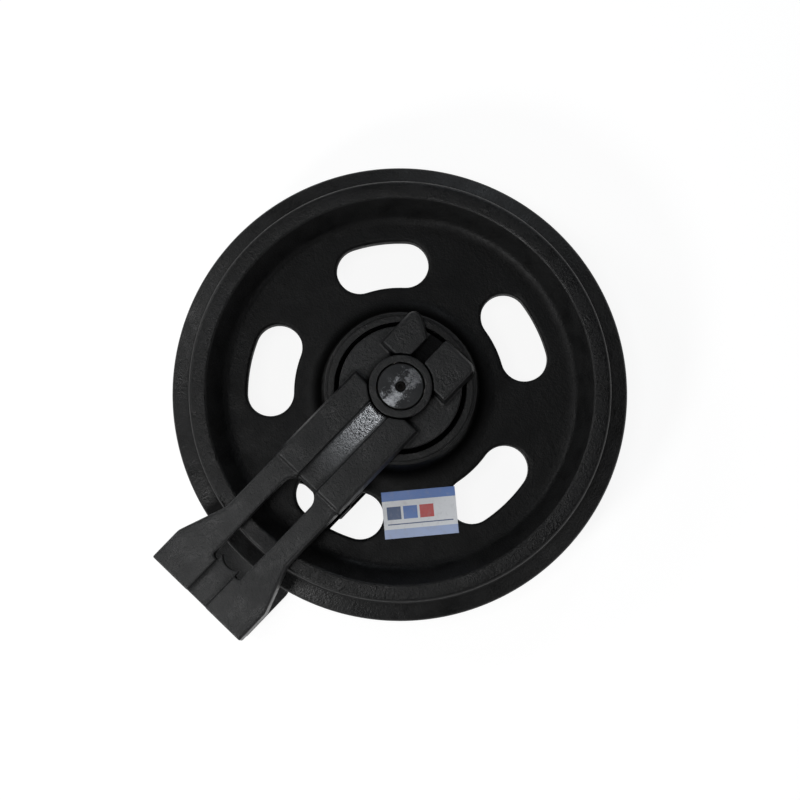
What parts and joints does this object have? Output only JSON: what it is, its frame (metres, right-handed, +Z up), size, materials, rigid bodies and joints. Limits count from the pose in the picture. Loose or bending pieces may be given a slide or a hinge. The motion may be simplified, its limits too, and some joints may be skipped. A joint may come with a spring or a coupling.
{
  "type": "track idler wheel",
  "caption": "Cast front idler wheel with a central guide flange and kidney slots, turning on a sealed axle between two forked yoke brackets.",
  "frame": {"origin": "on the wheel's axis, at the flat lower end of the axle, level with the faces that the idler lies on", "axes": "+Z up along the axle; the two yoke arms reach towards -X; +Y is across the arms"},
  "size_m": [0.4385, 0.39, 0.1261],
  "materials": {
    "wheel_paint": "semi-gloss black paint over a cast skin",
    "bracket_paint": "glossy black paint over a cast and ground skin",
    "axle_steel": "ground, with black paint on its two ends",
    "plug_steel": "painted over",
    "pin_steel": "plain",
    "seal_steel": "lapped",
    "seal_rubber": "matt",
    "bronze": "turned",
    "label": null
  },
  "bodies": {
    "yoke": {"axle": "axle_steel", "oil_plug": "plug_steel", "seal_ring_bracket_upper": "seal_steel", "toric_bracket_upper": "seal_rubber", "axle_oring_upper": "seal_rubber", "bracket_upper": "bracket_paint", "lock_pin_upper": "pin_steel", "seal_ring_bracket_lower": "seal_steel", "toric_bracket_lower": "seal_rubber", "axle_oring_lower": "seal_rubber", "bracket_lower": "bracket_paint", "lock_pin_lower": "pin_steel"},
    "wheel": {"idler_wheel": "wheel_paint", "label": "label", "bush_upper": "bronze", "bush_lower": "bronze", "seal_ring_wheel_upper": "seal_steel", "seal_ring_wheel_lower": "seal_steel", "toric_wheel_upper": "seal_rubber", "toric_wheel_lower": "seal_rubber"}
  },
  "joints": [
    {"name": "wheel_spin", "type": "hinge", "parent": "yoke", "child": "wheel", "pos_m": [0, 0, 0.06305], "axis": [0, 0, 1], "continuous": true}
  ]
}
